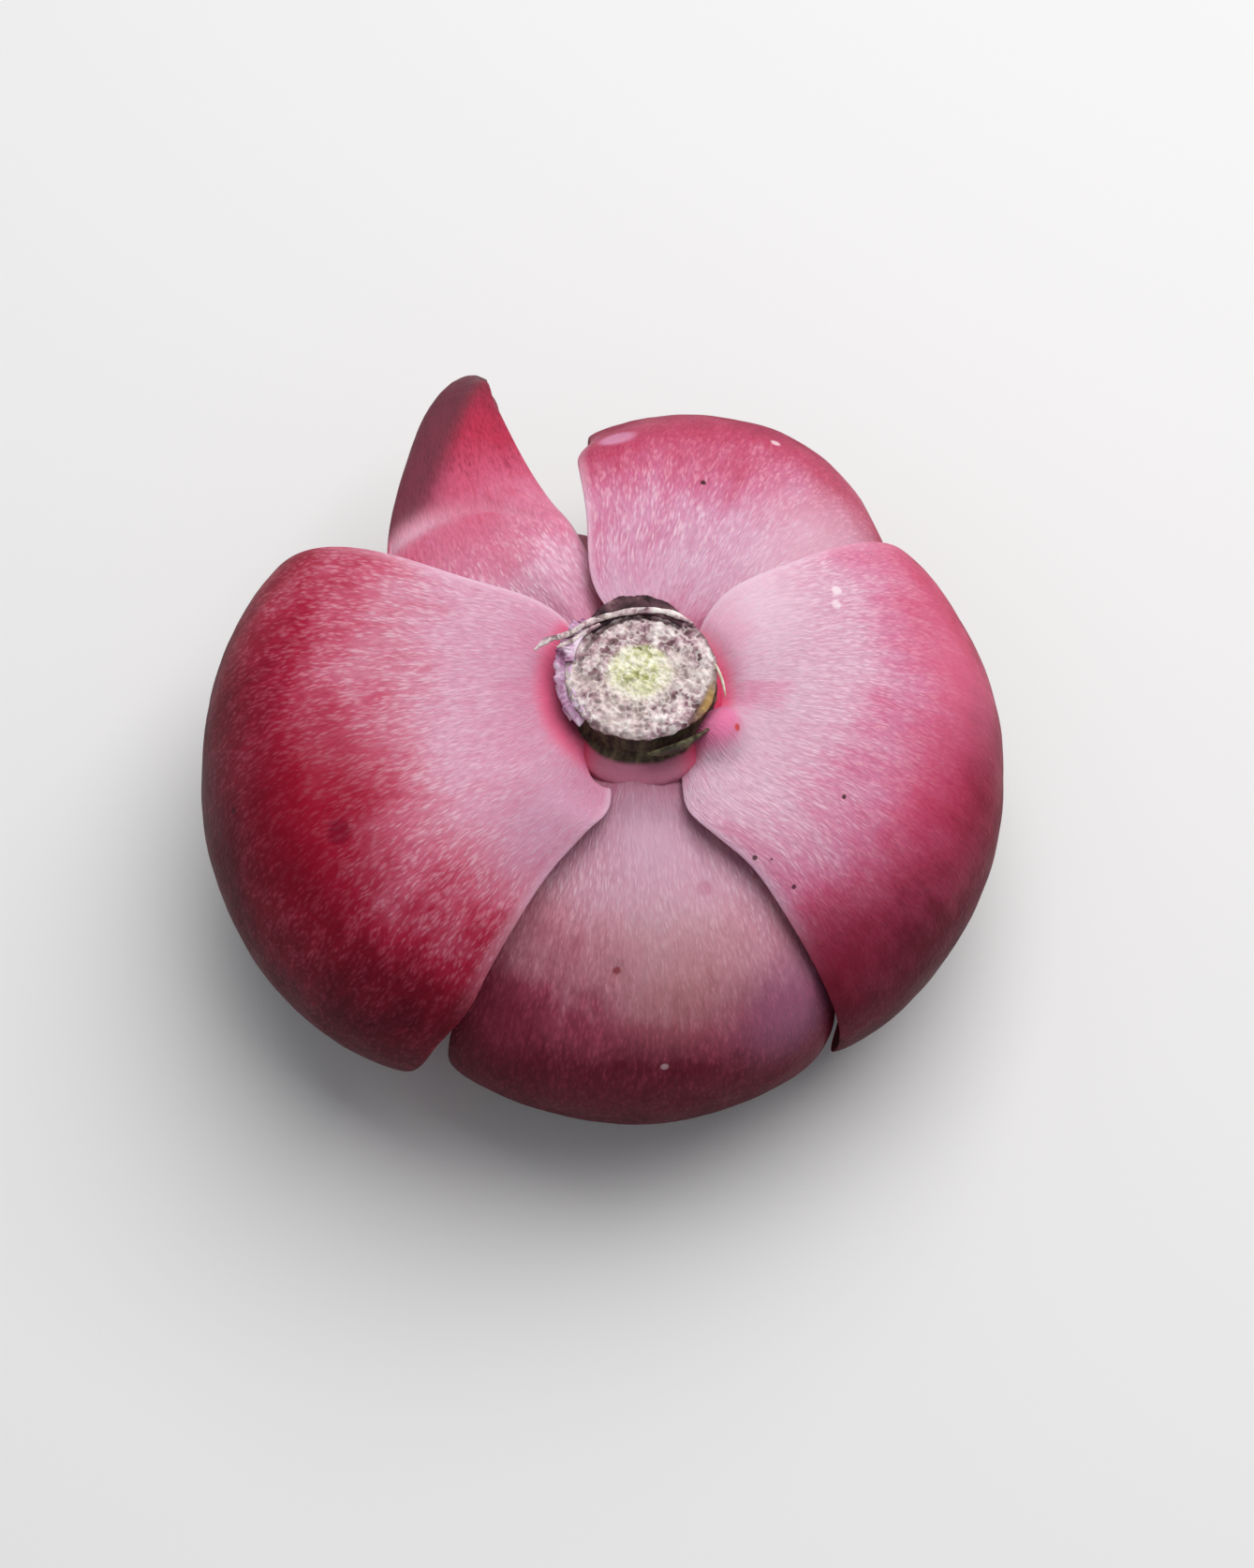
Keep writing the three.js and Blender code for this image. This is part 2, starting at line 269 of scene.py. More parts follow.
def polar(radius, angle, height):
    return radius * math.cos(angle), radius * math.sin(angle), height


def bumps(*place):
    """Smooth noise, about -1 to 1, at a place of three values."""
    return noise.noise(Vector(place))


# ---- reading a leaf of the frame


def leaf_rings(node):
    """The leaf's skin in millimetres as [ring, point round it, xyz], base first, and its tip point.

    The tip is the one vertex where a whole ring of triangles meets. Each edge of a ring has a triangle on
    its far side whose third corner is the matching point of the next ring.
    """
    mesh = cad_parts[node].data
    corners = np.empty(len(mesh.vertices) * 3)
    mesh.vertices.foreach_get("co", corners)
    corners = corners.reshape(-1, 3)
    # Corners that are the same to two microns are one point.
    merged = np.round(corners / 2e-6).astype(int)
    _, first, index = np.unique(merged, axis=0, return_index=True, return_inverse=True)
    mesh.calc_loop_triangles()
    triangles = index.ravel()[np.array([t.vertices[:] for t in mesh.loop_triangles])]
    points = corners[first] / MM
    third = {}
    for a, b, c in triangles.tolist():
        third[a, b] = c
        third[b, c] = a
        third[c, a] = b
    meeting = np.bincount(triangles.ravel())
    tip = int(meeting.argmax())
    around = int(meeting[tip])
    ring = [next(b for a, b in third if a == tip)]
    while len(ring) < around:
        ring.append(third[tip, ring[-1]])
    rings = []
    used = set()
    while not used.intersection(ring):
        rings.append(ring)
        used.update(ring)
        ring = [third[ring[(k + 1) % around], ring[k]] for k in range(around)]
    skin = points[np.array(rings[::-1])]
    return turned_to_margin(skin), points[tip]


def turned_to_margin(skin):
    """The rings with their first point on one margin, and the leaf's back before its face."""
    around = skin.shape[1]
    half = around // 2
    middle = skin[len(skin) // 2]
    widths = [np.linalg.norm(middle[k] - middle[k + half]) for k in range(half)]
    start = int(np.argmax(widths))
    focus = np.array([*STEM_CENTRE, CUT_HEIGHT / 4])
    sides = [np.roll(middle, -k, axis=0)[1:half].mean(0) for k in (start, start + half)]
    reach = [np.linalg.norm(side - focus) for side in sides]
    if reach[1] > reach[0]:
        start += half
    return np.roll(skin, -start, axis=1)


def spline(values, places, periodic=False):
    """Natural or periodic cubic through values at 0, 1, 2 ..., sampled at places on the first axis."""
    count = len(values)
    system = np.zeros((count, count))
    right = np.zeros_like(values)
    for i in range(count):
        before, after = (i - 1) % count, (i + 1) % count
        if not periodic and i in (0, count - 1):
            system[i, i] = 1
            continue
        system[i, [before, i, after]] = 1 / 6, 4 / 6, 1 / 6
        right[i] = values[before] - 2 * values[i] + values[after]
    bend = np.linalg.solve(system, right.reshape(count, -1)).reshape(values.shape)
    low = np.floor(places).astype(int)
    if not periodic:
        low = np.clip(low, 0, count - 2)
    b = (places - low).reshape(-1, *[1] * (values.ndim - 1))
    a = 1 - b
    low, high = low % count, (low + 1) % count
    cubic = ((a**3 - a) * bend[low] + (b**3 - b) * bend[high]) / 6
    return a * values[low] + b * values[high] + cubic


def fine_skin(node, lengthwise, round_count):
    """The leaf's skin resampled smoothly: [station, turn, xyz], with the tip as the last station."""
    skin, tip = leaf_rings(node)
    stations, around = skin.shape[:2]
    # Past the tip the skin goes on down the other side, so that the end comes out round.
    mirrored = (around // 2 - np.arange(around)) % around
    over = skin[::-1][:3][:, mirrored]
    tips = np.repeat(tip[None, None], around, axis=1)
    whole = np.concatenate([skin, tips, over])
    share = np.linspace(0, 1, lengthwise)
    along = stations * (0.5 * share + 0.5 * np.sin(share * math.pi / 2))
    long_rows = spline(whole, along)
    turns = np.arange(round_count) * around / round_count
    fine = spline(long_rows.transpose(1, 0, 2), turns, periodic=True).transpose(1, 0, 2)
    fine[-1] = tip
    return fine


# ---- relief of the leaves


def smoothstep(value, start, end):
    share = np.clip((value - start) / (end - start), 0, 1)
    return share * share * (3 - 2 * share)


def bell(value, width):
    """A bell curve of height 1 at 0."""
    return np.exp(-((value / width) ** 2))


def from_stem(points):
    """Distance from the stem's axis and angle round it, in millimetres and degrees."""
    away = points[..., :2] - STEM_CENTRE
    return np.linalg.norm(away, axis=-1), np.degrees(np.arctan2(away[..., 1], away[..., 0]))


def noise_field(points, size, seed):
    """Smooth noise, about -1 to 1, over points in millimetres, with features of a size."""
    flat = points.reshape(-1, 3) / size + seed * 17.3
    values = np.array([bumps(*p) for p in flat])
    return values.reshape(points.shape[:-1])


def skin_normals(skin):
    """Outward unit normals of a fine skin."""
    lengthwise = np.gradient(skin, axis=0)
    roundwise = np.roll(skin, -1, axis=1) - np.roll(skin, 1, axis=1)
    normal = np.cross(roundwise, lengthwise)
    length = np.linalg.norm(normal, axis=-1, keepdims=True)
    normal = normal / np.maximum(length, 1e-9)
    outward = skin[: len(skin) // 2] - skin[: len(skin) // 2].mean(1, keepdims=True)
    if (normal[: len(skin) // 2] * outward).sum() < 0:
        normal = -normal
    return normal


SOCKET_DEPTH = 1.7  # mm, of the moat that the leaf bases leave round the stem
SOCKET_WIDTH = 1.35
HUG = {"pull": 0.75, "at": 0.35, "width": 0.7}  # mm, how a leaf base is drawn in to the stem
LOBE = {"angle": -31, "radius": 6.8, "width": 2.15, "rise": 2.6}  # a swollen bit of the right leaf's base

# The soft waves of the leaf skin: size and height in millimetres. Inner leaves have only the first.
WAVES = [(9, 0.16), (3.2, 0.07), (1.1, 0.03)]

# Small dents and swellings: the leaf and where on its back (shares of length and half width),
# size and depth in millimetres; a negative depth is a swelling.
DENTS = [
    (("leaf_near", 0.329, -0.22), 0.5, 0.4),
    (("leaf_near", 0.206, 0.36), 0.8, 0.2),
    (("leaf_right", 0.228, 0.74), 0.5, -0.22),
    (("leaf_right", 0.209, 0.64), 0.45, -0.22),
    (("leaf_left", 0.341, 0.24), 1.3, 0.25),
    (("leaf_far", 0.348, 0.82), 1.3, 0.25),
    # The shoulder of an inner leaf that shows between the spread and the far leaf
    (("leaf_08", 0.38, 0.58), 5.0, -3.0),
]

# The rounded corners of the leaf bases. Round an angle about the stem, within a half width in degrees,
# the base is pulled back from the stem and sunk by some millimetres.
BASE_CORNERS = {
    "leaf_left": [(250, 20, 2.9, 1.2)],
    "leaf_right": [(-73, 15, 2.2, 0.45), (62, 12, 1.6, 0.3)],
    "leaf_far": [(108, 12, 1.2, 0.3)],
}
CORNER_FADE = 13  # mm from the stem's axis, where the corners end

# A leaf is turned round the stem towards one margin, or whole: the margin's side (0 is whole), the
# shares of its length between which the turn changes, and the degrees before and after.
MARGIN_TURNS = {
    "leaf_right": (-1, 0.05, 0.22, -5, -2.4),
    "leaf_far": (1, 0.3, 0.42, 1.6, -1.7),
    "leaf_left": (1, 0.42, 0.58, 0, -2.6),
    "leaf_spread": (0, 0.45, 0.85, 0, -1.2),
}

# The near leaf's base is raised to a level below the cut, fully up to a distance from the stem's axis
# and not at all past another, in millimetres.
COLLAR = {"below_cut": 4.2, "full": 8.2, "end": 11.0}


def turned(points, degrees):
    """Points turned round the stem's axis."""
    angle = np.radians(degrees)
    x, y = (points[..., i] - STEM_CENTRE[i] for i in (0, 1))
    made = points.copy()
    made[..., 0] = STEM_CENTRE[0] + x * np.cos(angle) - y * np.sin(angle)
    made[..., 1] = STEM_CENTRE[1] + x * np.sin(angle) + y * np.cos(angle)
    return made


def shaped_base(node, skin, across, along):
    """An outer leaf with its margin turned, the corners of its base rounded, and its collar."""
    radius, _ = from_stem(skin)
    if node in MARGIN_TURNS:
        side, start, end, before, after = MARGIN_TURNS[node]
        degrees = before + (after - before) * smoothstep(along, start, end)
        weight = smoothstep(side * across, 0.2, 1) if side else 1.0
        skin = turned(skin, degrees * weight)
    if node == "leaf_near":
        skin = skin.copy()
        missing = np.maximum(CUT_HEIGHT - COLLAR["below_cut"] - skin[..., 2], 0)
        rise = 1 - smoothstep(radius, COLLAR["full"], COLLAR["end"])
        skin[..., 2] += missing.min(axis=1, keepdims=True) * rise
    for corner_angle, half_width, pull, sink in BASE_CORNERS.get(node, []):
        radius, angle = from_stem(skin)
        off = (angle - corner_angle + 180) % 360 - 180
        share = bell(off, half_width)
        near = np.clip((CORNER_FADE - radius) / (CORNER_FADE - STEM_RADIUS), 0, 1)
        outward = (skin[..., :2] - STEM_CENTRE) / np.maximum(radius, 0.1)[..., None]
        skin = skin.copy()
        skin[..., :2] += outward * (pull * share * near**1.3)[..., None]
        skin[..., 2] -= sink * share * smoothstep(near, 0.05, 0.6)
    return skin


def sunk_round_stem(skin, socket_depth):
    """The leaf base pulled in to the stem and down into the moat round it."""
    radius, angle = from_stem(skin)
    centre = np.array([*STEM_CENTRE, 0])
    near = bell(radius - STEM_RADIUS - HUG["at"], HUG["width"])
    outward = (skin - centre) * [1, 1, 0] / np.maximum(radius, 0.1)[..., None]
    sunk = skin - outward * (near * HUG["pull"])[..., None]
    wobble = 1 + 0.15 * np.sin(np.radians(3 * angle + 40))
    moat = bell(np.maximum(radius - STEM_RADIUS, 0), SOCKET_WIDTH)
    sunk[..., 2] -= socket_depth * wobble * moat
    return sunk


def lobe_share(skin):
    """How much a place of the right leaf belongs to its swollen lobe, 0 to 1."""
    angle = math.radians(LOBE["angle"])
    spot = STEM_CENTRE + LOBE["radius"] * np.array([math.cos(angle), math.sin(angle)])
    away = np.linalg.norm(skin[..., :2] - spot, axis=-1) / LOBE["width"]
    return np.exp(-(away**4))


def relief(node, skin, across, along, seed, is_outer):
    """The leaf's skin with soft waves and small dents, which fade out at its margins and its tip."""
    normal = skin_normals(skin)
    fade = np.clip((1 - np.abs(across)) / 0.08, 0, 1) * np.clip((1 - along) / 0.05, 0, 1)
    waves = WAVES if is_outer else WAVES[:1]
    height = sum(rise * noise_field(skin, size, seed + k) for k, (size, rise) in enumerate(waves))
    for (dent_node, at_along, at_across), size, depth in DENTS:
        if dent_node == node:
            spot = nearest_on_back(skin, across, along, at_along, at_across)
            height = height - depth * bell(np.linalg.norm(skin - spot, axis=-1), size)
    return skin + normal * (height * fade)[..., None]


def nearest_on_back(skin, across, along, at_along, at_across):
    """The point of the leaf's back at a share of its length and of its half width."""
    turns = skin.shape[1]
    gap = np.abs(along - at_along)[:, : turns // 2] + np.abs(across - at_across)[:, : turns // 2]
    row, column = np.unravel_index(gap.argmin(), gap.shape)
    return skin[row, column]


# The spread leaf's fold: the share by which one side is narrowed, then the depth or height in mm and the
# width as a share of the leaf, of the groove in its crease, the lip before it and the ridge past it.
FOLD_NARROWING = 0.24
CREASE_GROOVE = (0.4, 0.022)
CREASE_LIP = (0.25, 0.035)
LIP_BEFORE = 0.05
FOLD_RIDGE = (0.55, 0.3)


def crease_distance(across, along):
    """How far past its crease a place of the spread leaf is, as a share of its length."""
    return along - (0.45 + 0.08 * across - 0.22 * np.maximum(-across, 0) ** 3)


def fold_distance(across, along):
    """How far a place of the spread leaf is to the darker side of the fold from its crease to its tip; that
    side carries painted shade.
    """
    return across - (0.17 - 3.3 * (along - 0.477))


def folded(skin, across, along):
    """The spread leaf bent along its crease, with a low ridge along the fold to its narrow tip."""
    narrowed = smoothstep(across, 0.1, 1) * smoothstep(along, 0.48, 0.72) * smoothstep(1 - along, 0.0, 0.1)
    middle = skin.mean(axis=1, keepdims=True)
    skin = skin + (middle - skin) * (FOLD_NARROWING * narrowed)[..., None]
    past = crease_distance(across, along)
    sunk = CREASE_GROOVE[0] * bell(past, CREASE_GROOVE[1])
    sunk -= CREASE_LIP[0] * bell(past + LIP_BEFORE, CREASE_LIP[1])
    sunk -= FOLD_RIDGE[0] * bell(fold_distance(across, along), FOLD_RIDGE[1]) * smoothstep(past, 0.0, 0.1)
    fade = smoothstep(1 - np.abs(across), 0.0, 0.1) * smoothstep(1 - along, 0.0, 0.15)
    return skin - skin_normals(skin) * (sunk * fade)[..., None]


# ---- leaf pieces

OUTER_GRID = (130, 168)  # stations along a leaf, and points round it
INNER_GRID = (56, 72)


def skin_faces(stations, turns):
    """Quads between the rings, a fan at the tip, and a strip over the base end."""
    faces = ring_faces(stations - 1, turns)
    last = (stations - 2) * turns
    tip = (stations - 1) * turns
    faces += [(last + k, last + (k + 1) % turns, tip) for k in range(turns)]
    for k in range(turns // 2):
        corners = [k + 1, k, (turns - k) % turns, turns - k - 1]
        # At the margins two of the corners are one.
        faces.append(tuple(dict.fromkeys(corners)))
    return faces


def round_turns(count):
    """The angles of the points round a leaf, from one margin over its back."""
    return np.arange(count) * 2 * math.pi / count


def leaf_shape(node, seed):
    """A leaf's fine skin, with the shares of half width and of length at each place and the leaf's whole
    length.
    """
    is_outer = node in OUTER_LEAVES
    lengthwise, turns = OUTER_GRID if is_outer else INNER_GRID
    skin = fine_skin(node, lengthwise, turns)
    across = np.broadcast_to(np.cos(round_turns(turns)), skin.shape[:2])
    steps = np.linalg.norm(np.diff(skin[:, turns // 4], axis=0), axis=-1)
    length = np.concatenate([[0], np.cumsum(steps)])
    along = np.broadcast_to((length / length[-1])[:, None], skin.shape[:2])
    skin = relief(node, skin, across, along, seed, is_outer)
    socket_depth = SOCKET_DEPTH if is_outer and node != "leaf_near" else 0
    skin = sunk_round_stem(shaped_base(node, skin, across, along), socket_depth)
    return skin, across, along, length[-1]


def make_leaf(node, seed, material):
    """The fine piece that stands for one leaf of the frame, with the shares that its shader reads."""
    skin, across, along, length = leaf_shape(node, seed)
    shares = {}
    if node == "leaf_right":
        shares["lobe"] = lobe_share(skin)
        skin = skin + shares["lobe"][..., None] * [0, 0, LOBE["rise"]]
    if node == "leaf_spread":
        skin = folded(skin, across, along)
        past = crease_distance(across, along)
        # A mask for the painted highlight along the crease, and one for the painted shade, partly the
        # facet's own greyer colour, past the fold
        shares["crease"] = bell(past, 0.024) * smoothstep(1 - np.abs(across), 0, 0.1)
        shares["crease"] *= 0.25 + 0.75 * smoothstep(across, -0.15, 0.6)
        shares["dull_and_shaded"] = smoothstep(fold_distance(across, along), -0.15, 0.5) * smoothstep(past, 0.0, 0.04)
    stations, turns = skin.shape[:2]
    points = skin.reshape(-1, 3)[: (stations - 1) * turns + 1]
    made = make_object(node + "_skin", points, skin_faces(stations, turns))
    width = np.linalg.norm(skin[:, 0] - skin[:, turns // 2], axis=-1).max()
    radius, _ = from_stem(skin)
    shares.update(
        along=along,
        across=across,
        face_side=smoothstep(-np.sin(round_turns(turns)), -0.02, 0.1) * np.ones_like(along),
        along_mm=along * length,
        across_mm=across * width / 2,
        stem_mm=radius - STEM_RADIUS,
    )
    for name, values in shares.items():
        add_attribute(made, name, values.reshape(-1)[: len(points)])
    made.data.materials.append(material)
    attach(made, BODY)
    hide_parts(node)
    return skin, across, along, list(shares)


# ---- leaf material

SOCKET = srgb(230, 100, 140)
FLECK_TINTS = shades(
    (0.0, 242, 206, 222), (0.2, 248, 220, 232), (0.32, 236, 166, 186), (0.42, 210, 96, 122),
    (0.55, 142, 50, 72), (0.9, 80, 24, 38),
)
MARGIN = srgb(236, 196, 216)

# The colours of each leaf's back from base to tip, at shares of its length. The dark ends towards the tips
# are partly the leaves' own maroon and partly painted shade, darkest on the left and the near leaf, which
# turn away from the light. lean draws the tip's colours towards the base on the side of higher azimuth,
# flecks is how strong the pale flecks are, and socket is where the deep pink of the base starts and is
# full, in millimetres from the stem.
LEAF_LOOKS = {
    "leaf_right": {
        "lean": -0.03,
        "flecks": 0.65,
        "stops": shades(
            (0.03, 220, 150, 180), (0.1, 222, 184, 204), (0.2, 220, 168, 192), (0.29, 216, 134, 168),
            (0.37, 214, 104, 142), (0.46, 198, 72, 106), (0.56, 136, 34, 56), (0.68, 78, 14, 28),
        ),
    },
    "leaf_left": {
        "lean": 0.03,
        "flecks": 0.52,
        "socket": (3.3, 1.7),
        "stops": shades(
            (0.03, 218, 146, 176), (0.13, 222, 166, 192), (0.2, 218, 142, 168), (0.28, 208, 98, 126),
            (0.37, 180, 38, 70), (0.47, 136, 20, 44), (0.6, 84, 12, 26), (0.95, 36, 3, 10),
        ),
    },
    "leaf_far": {
        "lean": 0.12,
        "flecks": 0.65,
        "stops": shades(
            (0.03, 206, 130, 162), (0.12, 218, 172, 198), (0.2, 214, 150, 182), (0.3, 206, 112, 148),
            (0.42, 191, 74, 106), (0.6, 150, 44, 74), (0.8, 112, 26, 50), (0.95, 92, 18, 38),
        ),
    },
    "leaf_near": {
        "lean": -0.03,
        "flecks": 0.5,
        "stops": shades(
            (0.03, 176, 110, 134), (0.1, 190, 136, 158), (0.2, 208, 154, 174), (0.31, 204, 138, 155),
            (0.41, 160, 72, 96), (0.52, 110, 33, 52), (0.68, 76, 15, 29), (0.95, 46, 8, 16),
        ),
    },
    "leaf_spread": {
        "flecks": 0.7,
        "stops": shades(
            (0.05, 216, 150, 180), (0.16, 222, 166, 192), (0.27, 220, 134, 166), (0.38, 218, 126, 158),
            (0.48, 212, 98, 130), (0.62, 188, 66, 94), (0.8, 150, 40, 64), (0.97, 128, 26, 48),
        ),
    },
}

INNER_STOPS = shades(
    (0.0, 212, 206, 184), (0.22, 208, 160, 168), (0.45, 196, 104, 130), (0.7, 168, 60, 88),
    (0.95, 112, 24, 46),
)
INNER_LOOKS = {"stops": INNER_STOPS, "flecks": 0.3}

# How far patches and streaks of noise push a place's colour along the leaf, as shares of its length
PATCH_STIR, STREAK_STIR = 0.3, 0.13


def leaf_shader(name, seed, stops, flecks, lean=0.0, socket=(2.2, 0.6)):
    """Leaf skin: the stops' colours stirred by patches and streaks, under pale flecks."""
    s = Shader(name)
    along = s.attribute("along")
    across = s.attribute("across")
    along_mm = s.attribute("along_mm")
    across_mm = s.attribute("across_mm")
    patches = s.noise(s.vector(along_mm, across_mm, seed * 3.1), 0.13, 4, 0.6)
    streaks = s.noise(s.vector(s.times(along_mm, 0.16), across_mm, seed * 1.7), 0.9, 4, 0.6)
    stirred = s.add(along, s.times(s.add(patches, -0.5), PATCH_STIR))
    stirred = s.add(stirred, s.times(s.add(streaks, -0.5), STREAK_STIR))
    stirred = s.add(stirred, s.times(across, lean))
    colour = s.ramp(stirred, stops)
    face = s.ramp(along, INNER_STOPS)
    colour = s.mix(s.times(s.attribute("face_side"), 0.8), colour, face)
    tints = s.ramp(stirred, FLECK_TINTS)
    stem_mm = s.attribute("stem_mm")
    strength = s.smooth(stem_mm, 0.5, 9.0, flecks * 0.35, flecks)
    colour, fleck_mask = flecked(s, colour, tints, along_mm, across_mm, seed, strength)
    # The bases round the stem are a deeper pink.
    near_stem = s.smooth(stem_mm, *socket)
    colour = s.mix(s.times(near_stem, 0.9), colour, SOCKET)
    # The thin margins are pale.
    margin = s.smooth(s.maths("ABSOLUTE", across), 0.93, 0.995)
    colour = s.mix(s.times(s.times(margin, s.smooth(along, 0.5, 0.15)), 0.6), colour, MARGIN)
    s.base_colour = colour
    fine = s.noise(s.place(), 1500, 2)
    dimples = s.noise(s.vector(s.times(along_mm, 0.5), across_mm, seed), 2.2, 3)
    height = s.add(s.times(fleck_mask, 0.4), s.add(s.times(fine, 0.3), s.times(dimples, 0.6)))
    s.look("Normal", s.bump(height, 0.00014, 0.6))
    s.look("Roughness", s.smooth(patches, 0.3, 0.7, 0.42, 0.56))
    s.look("Subsurface Weight", 0.2)
    s.look("Subsurface Radius", (1.0, 0.3, 0.3))
    s.look("Subsurface Scale", 0.0014)
    s.look("Specular IOR Level", 0.04)
    return s


# The two sets of flecks: length and width in mm, a shift that keeps the sets apart, and strength
FLECK_SETS = [(0.85, 0.25, 0.0, 1.0), (1.25, 0.36, 5.5, 0.85)]


def flecked(s, colour, tints, along_mm, across_mm, seed, strength):
    """Dense short pale flecks, longer along the leaf than wide; returns the colour and their mask."""
    both = None
    for length, width, shift, weight in FLECK_SETS:
        wave = s.noise(s.vector(along_mm, across_mm, seed + shift), 0.4, 1)
        x = s.add(s.times(along_mm, 1 / length), shift)
        y = s.add(s.times(across_mm, 1 / width), s.times(wave, 3.0))
        inputs = {"Vector": s.vector(x, y, seed), "Scale": 1.0}
        cells = s.node("ShaderNodeTexVoronoi", inputs, output="Distance")
        keep = s.smooth(s.noise(s.vector(x, y, seed + 9), 0.6, 1), 0.32, 0.6)
        mask = s.times(s.times(s.smooth(cells, 0.6, 0.1), keep), weight)
        both = mask if both is None else s.maths("MAXIMUM", both, mask)
    grain = s.noise(s.vector(s.times(along_mm, 0.35), across_mm, seed + 3), 4.2, 3, 0.65)
    colour = s.mix(s.smooth(grain, 0.35, 0.65, 0.22, 0.0), colour, srgb(150, 40, 76), "MULTIPLY")
    return s.mix(s.times(both, strength), colour, tints), both


def finish_leaf(s, marks, skin, across, along, shares):
    """Adds the leaf's own lobe, specks, scars and patches (some painted shade, one a painted sheen), the
    crease's painted highlight and the partly painted shade past the fold, then joins the colour to the
    surface.
    """
    colour = s.base_colour
    if "lobe" in shares:
        colour = s.mix(s.smooth(s.attribute("lobe"), 0.1, 1.0), colour, srgb(224, 124, 166))
    for at_along, at_across, size, shade, strength in marks:
        point = nearest_on_back(skin, across, along, at_along, at_across) * MM
        spot = s.spot(tuple(point), size * MM, softness=0.35 if size < 2 else 0.8)
        colour = s.mix(s.times(spot, strength), colour, srgb(*shade))
    if "crease" in shares:
        # The side past the fold is darker: painted shade, partly the facet's own greyer colour
        dull_and_shaded = s.times(s.attribute("dull_and_shaded"), 0.8)
        colour = s.mix(dull_and_shaded, colour, srgb(100, 58, 68))
        # Painted highlight along the crease
        colour = s.mix(s.times(s.attribute("crease"), 0.6), colour, MARGIN)
    s.look("Base Color", colour)


SEPIA = (52, 26, 24)

# Specks, scars and soft patches on the leaves' backs, some of the patches painted shade and one a painted
# sheen, in the order in which they are painted: shares of length and half width, radius in mm, colour on a
# screen, strength
MARKS = {
    "leaf_right": [
        (0.225, -0.43, 0.18, SEPIA, 0.9),
        (0.201, -0.95, 0.2, SEPIA, 0.85),
        (0.267, -0.9, 0.19, SEPIA, 0.85),
        (0.212, -0.9, 0.12, SEPIA, 0.6),
        (0.053, -0.36, 0.3, (200, 60, 30), 0.8),
        (0.228, 0.74, 0.45, (250, 236, 242), 0.7),
        (0.209, 0.64, 0.4, (250, 236, 242), 0.6),
        (0.1, 0.86, 4.0, (240, 208, 224), 0.5),
        (0.43, 0.6, 5.0, (204, 64, 98), 0.3),
        (0.4, -0.2, 5.0, (200, 48, 88), 0.3),
        (0.46, 0.3, 5.0, (222, 114, 146), 0.5),
        # Painted shade, partly the leaf's own maroon: dark patches towards the tip and along the lower
        # margin
        (0.53, -0.1, 7.0, (112, 28, 50), 0.4),
        (0.55, -0.7, 9.0, (64, 12, 24), 0.6),
        (0.42, -0.92, 4.0, (124, 20, 44), 0.5),
    ],
    "leaf_left": [
        (0.503, -0.08, 0.32, SEPIA, 0.7),
        (0.357, 0.05, 5.5, (160, 14, 42), 0.65),
        (0.4, 0.35, 4.0, (146, 14, 40), 0.45),
        (0.341, 0.24, 1.0, (124, 14, 44), 0.6),
        (0.14, 0.86, 4.5, (184, 134, 160), 0.55),
        # Painted shade, partly the leaf's own maroon, on the lower part towards the tip
        (0.53, -0.15, 7.0, (72, 20, 32), 0.4),
    ],
    "leaf_far": [
        (0.262, 0.32, 0.24, SEPIA, 0.9),
        (0.348, 0.82, 1.5, (226, 160, 196), 0.6),
        (0.429, 0.1, 0.4, (246, 220, 228), 0.7),
        (0.3, -0.55, 6.5, (226, 188, 204), 0.65),
    ],
    "leaf_near": [
        (0.329, -0.22, 0.36, (150, 22, 50), 0.9),
        (0.206, 0.36, 0.6, (176, 80, 120), 0.6),
        (0.497, 0.02, 0.32, (222, 190, 200), 0.5),
        # Painted sheen: a lilac-grey patch on the right of the leaf
        (0.45, 0.72, 4.5, (160, 112, 144), 0.5),
        (0.1, 0.0, 3.0, (214, 176, 198), 0.45),
        (0.2, 0.12, 5.0, (216, 176, 196), 0.4),
        (0.33, 0.1, 5.0, (192, 146, 138), 0.35),
        # Painted shade: a crimson shadow by the left margin
        (0.456, -0.78, 3.0, (120, 18, 44), 0.45),
    ],
    "leaf_spread": [
        (0.369, -0.01, 2.6, (206, 70, 104), 0.25),
        (0.247, -0.22, 2.0, (206, 76, 112), 0.35),
        (0.62, -0.55, 3.0, (196, 28, 62), 0.25),
    ],
}


def make_leaves():
    for order, node in enumerate(OUTER_LEAVES + INNER_LEAVES):
        looks = LEAF_LOOKS.get(node, INNER_LOOKS)
        shader = leaf_shader(node + "_skin", order + 1.0, **looks)
        finish_leaf(shader, MARKS.get(node, []), *make_leaf(node, order, shader.material))


# ---- stem

PITH_RADIUS = 2.35
RING_RADIUS = 3.3
RIM_RADIUS = 5.25
RIM_START, RIM_END = 35, 200  # degrees round the stem between which the rim stands up
SCAR_ANGLE = -24  # degrees, the middle of the golden scar on the rim
FACE_HEIGHT = CUT_HEIGHT - 0.35  # the level of the cut's face, which its bumps bring up to the frame's cut
BUMPS = [(1.3, 0.16), (0.42, 0.24), (0.2, 0.1)]  # mm, size and height of the bumps on the cut
FOOT_DEPTH = 3.2  # mm below the cut, where the wall starts to spread into the leaf bases
FOOT_ANGLE = 268  # degrees, the middle of the foot's open side, between the left and the right leaf
CUT_ROWS, WALL_ROWS, STEM_TURNS = 84, 60, 264


def stem_profile():
    """The frame's stem as radius at height, in millimetres, from the cut down."""
    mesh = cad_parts["stem"].data
    points = np.array([v.co for v in mesh.vertices]) / MM
    radius, _ = from_stem(points)
    order = np.argsort(-points[:, 2])
    heights, radii = points[order, 2], radius[order]
    solid = radii > 0.5
    return heights[solid], radii[solid]


